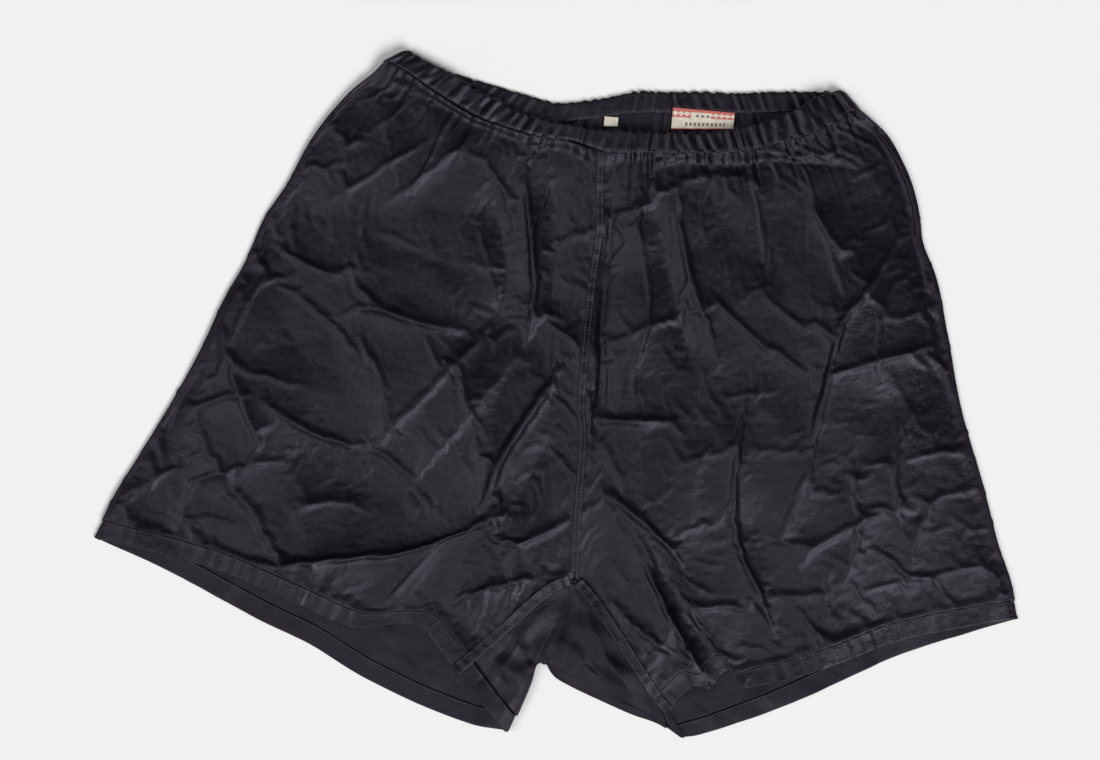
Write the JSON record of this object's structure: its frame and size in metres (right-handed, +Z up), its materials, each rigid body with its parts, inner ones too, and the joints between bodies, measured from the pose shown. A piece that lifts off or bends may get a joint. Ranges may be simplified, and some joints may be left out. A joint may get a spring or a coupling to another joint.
{
  "type": "boxing shorts",
  "caption": "Loose black cotton sateen boxing shorts with a gathered elastic waist, lying flat, with sewn-in labels that lift.",
  "frame": {"origin": "on the table, under the middle of the outline of the shorts lying on their back", "axes": "+Z up from the table, +Y towards the waist, +X towards the wearer's left side"},
  "size_m": [0.704, 0.5063, 0.0143],
  "materials": {
    "sateen": "black cotton sateen, soft sheen, crumpled",
    "sateen_edge": "black cotton sateen, folded and sewn layers",
    "thread": "black cotton sewing thread",
    "elastic": "woven elastic tape, undyed",
    "label_cloth": "off-white woven cotton tape"
  },
  "bodies": {
    "garment": {"right_front_panel": "sateen", "right_back_panel": "sateen", "right_front_hem": "sateen_edge", "right_back_hem": "sateen_edge", "right_side_seam": "sateen_edge", "right_inseam": "sateen_edge", "right_front_hem_stitching": "thread", "right_back_hem_stitching": "thread", "right_inseam_upper_stitching": "thread", "right_inseam_lower_stitching": "thread", "front_seam_right_stitching": "thread", "back_seam_right_stitching": "thread", "left_front_panel": "sateen", "left_back_panel": "sateen", "left_front_hem": "sateen_edge", "left_back_hem": "sateen_edge", "left_side_seam": "sateen_edge", "left_inseam": "sateen_edge", "left_front_hem_stitching": "thread", "left_back_hem_stitching": "thread", "left_inseam_upper_stitching": "thread", "left_inseam_lower_stitching": "thread", "front_seam_left_stitching": "thread", "back_seam_left_stitching": "thread", "waist_casing": "sateen_edge", "waist_elastic": "elastic", "waist_front_stitching": "thread", "waist_back_stitching": "thread", "front_centre_seam": "sateen_edge", "back_centre_seam": "sateen_edge", "maker_label_stitching": "thread", "size_tag_stitching": "thread"},
    "maker_label": {"maker_label": "label_cloth"},
    "size_tag": {"size_tag": "label_cloth"}
  },
  "joints": [
    {"name": "maker_label_lift", "type": "hinge", "parent": "garment", "child": "maker_label", "pos_m": [0.0795, 0.2295, 0.00445], "axis": [-1, 0, 0], "range_deg": [0, 110]},
    {"name": "size_tag_lift", "type": "hinge", "parent": "garment", "child": "size_tag", "pos_m": [0.01025, 0.218, 0.00445], "axis": [-1, 0, 0], "range_deg": [0, 110]}
  ]
}
